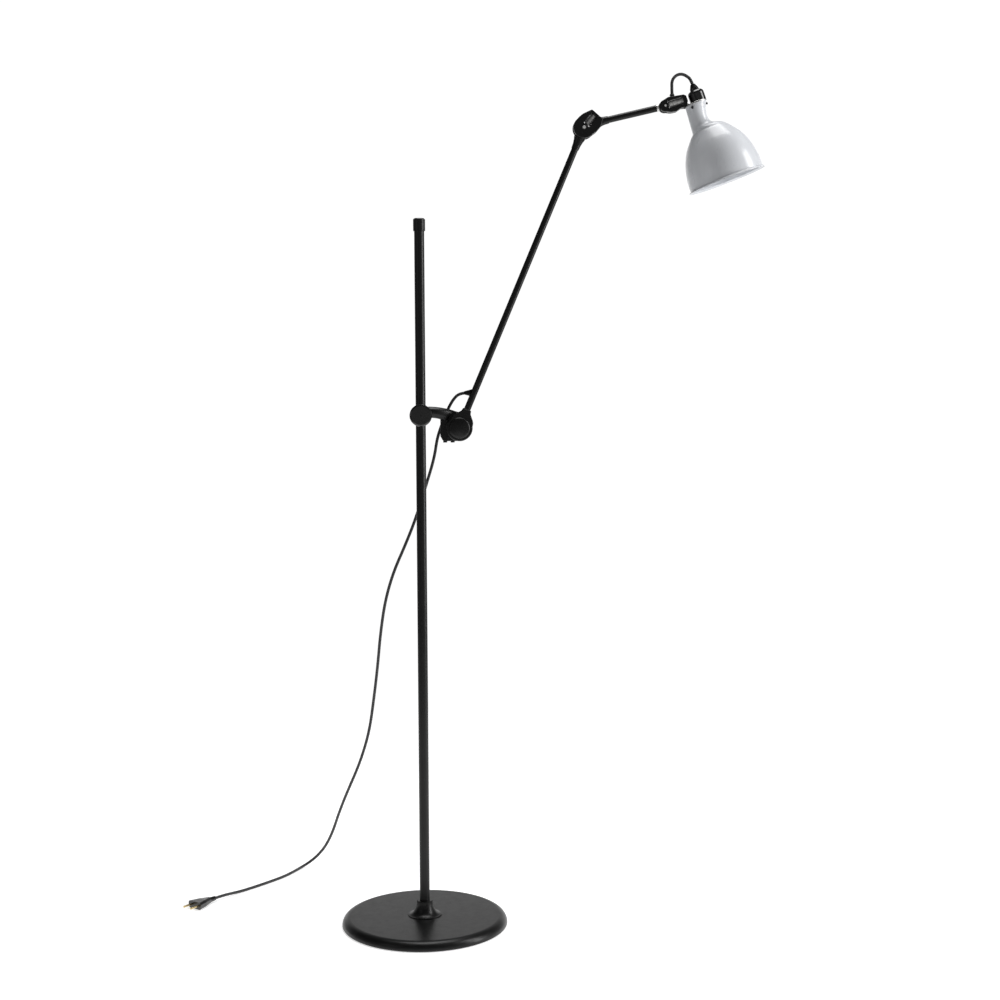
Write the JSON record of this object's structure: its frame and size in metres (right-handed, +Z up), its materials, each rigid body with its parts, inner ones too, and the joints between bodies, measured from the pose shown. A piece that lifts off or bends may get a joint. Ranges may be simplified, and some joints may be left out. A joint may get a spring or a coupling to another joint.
{
  "type": "adjustable arm floor lamp",
  "caption": "Floor lamp: a round foot and pole carry a sliding clamp with a two-part pivoting arm, a swivelling bell shade, and a mains cord to a plug.",
  "frame": {"origin": "centre of the base pad's underside, on the pole's axis", "axes": "+Z up the pole, +X towards the lamp head, -Y towards the clamp knob"},
  "size_m": [1.0691, 0.5078, 1.5288],
  "materials": {
    "black_enamel": "black satin-gloss stoved enamel",
    "rubber_pad": "matt black rubber",
    "zinc_steel": "bright zinc plate",
    "black_screw": "blackened steel",
    "nickel": "polished nickel plate",
    "nylon": "black nylon",
    "black_plastic": "glossy black moulded plastic",
    "white_lacquer": "white satin lacquer",
    "cord_jacket": "matt black jacket",
    "bulb_glass": "frosted glass",
    "brass_cap": "plain brass"
  },
  "bodies": {
    "stand": {"base_disc": "black_enamel", "base_pad": "rubber_pad", "foot_washer": "zinc_steel", "foot_bolt": "zinc_steel", "foot_collar": "black_enamel", "pole": "black_enamel", "pole_thread_plug": "zinc_steel", "pole_cap": "black_enamel", "mains_cord": "cord_jacket", "plug_body": "black_plastic", "plug_pins": "brass_cap"},
    "liner": {"clamp_liner": "nylon"},
    "clamp": {"clamp_bracket": "black_enamel", "bracket_screws": "black_screw", "pivot_lock_screw": "black_screw", "clamp_shoe": "zinc_steel", "bracket_cord": "cord_jacket"},
    "knob": {"clamp_knob": "black_plastic", "knob_stud": "zinc_steel"},
    "long_arm": {"arm_hub": "black_enamel", "pivot_cover": "black_enamel", "pivot_bolt": "zinc_steel", "pivot_nut": "zinc_steel", "pivot_spring_washer": "zinc_steel", "pivot_friction_disc": "nylon", "long_arm_tube": "black_enamel", "cord_outlet": "black_enamel", "arm_inner_cord": "cord_jacket", "elbow_tongue": "black_enamel", "arm_cord": "cord_jacket"},
    "forearm": {"elbow_cage": "black_enamel", "elbow_barrel": "nickel", "elbow_pin": "nickel", "elbow_set_screw": "black_screw", "forearm_tube": "black_enamel", "forearm_inner_cord": "cord_jacket", "wrist_ring": "nickel", "wrist_tongue": "black_enamel"},
    "wrist": {"wrist_cage": "black_enamel", "wrist_barrel": "nickel", "wrist_pin": "nickel", "wrist_set_screw": "black_screw", "cord_grommet": "rubber_pad", "head_cord": "cord_jacket"},
    "head": {"gallery_ring": "zinc_steel", "swivel_screw": "zinc_steel", "shade": "white_lacquer", "neck_screws": "black_screw", "lampholder": "black_plastic", "lampholder_ring": "black_plastic", "lampholder_cap": "black_plastic", "cord_grip": "black_plastic", "bulb_glass": "bulb_glass", "bulb_cap": "brass_cap"}
  },
  "joints": [
    {"name": "clamp_slide", "type": "slide", "parent": "stand", "child": "liner", "axis": [0, 0, 1], "range_m": [-0.4, 0.28], "deforming": ["mains_cord"]},
    {"name": "clamp_turn", "type": "hinge", "parent": "liner", "child": "clamp", "pos_m": [0, 0, 0.924], "axis": [0, 0, 1], "range_deg": [-90, 90], "deforming": ["bracket_cord"]},
    {"name": "knob_turn", "type": "hinge", "parent": "clamp", "child": "knob", "pos_m": [0, 0, 0.924], "axis": [0, -1, 0], "range_deg": [0, 540]},
    {"name": "arm_tilt", "type": "hinge", "parent": "clamp", "child": "long_arm", "pos_m": [0.069, 0, 0.901], "axis": [0, 1, 0], "range_deg": [-12, 55], "deforming": ["arm_cord"]},
    {"name": "elbow", "type": "hinge", "parent": "long_arm", "child": "forearm", "pos_m": [0.29275, 0, 1.43068], "axis": [0, 1, 0], "range_deg": [-45, 42]},
    {"name": "head_tilt", "type": "hinge", "parent": "forearm", "child": "wrist", "pos_m": [0.43746, 0, 1.46925], "axis": [0, 1, 0], "range_deg": [-45, 30]},
    {"name": "head_swivel", "type": "hinge", "parent": "wrist", "child": "head", "pos_m": [0.47566, 0, 1.47025], "axis": [0.9478, 0, -0.319], "range_deg": [-150, 150], "deforming": ["head_cord"]}
  ]
}
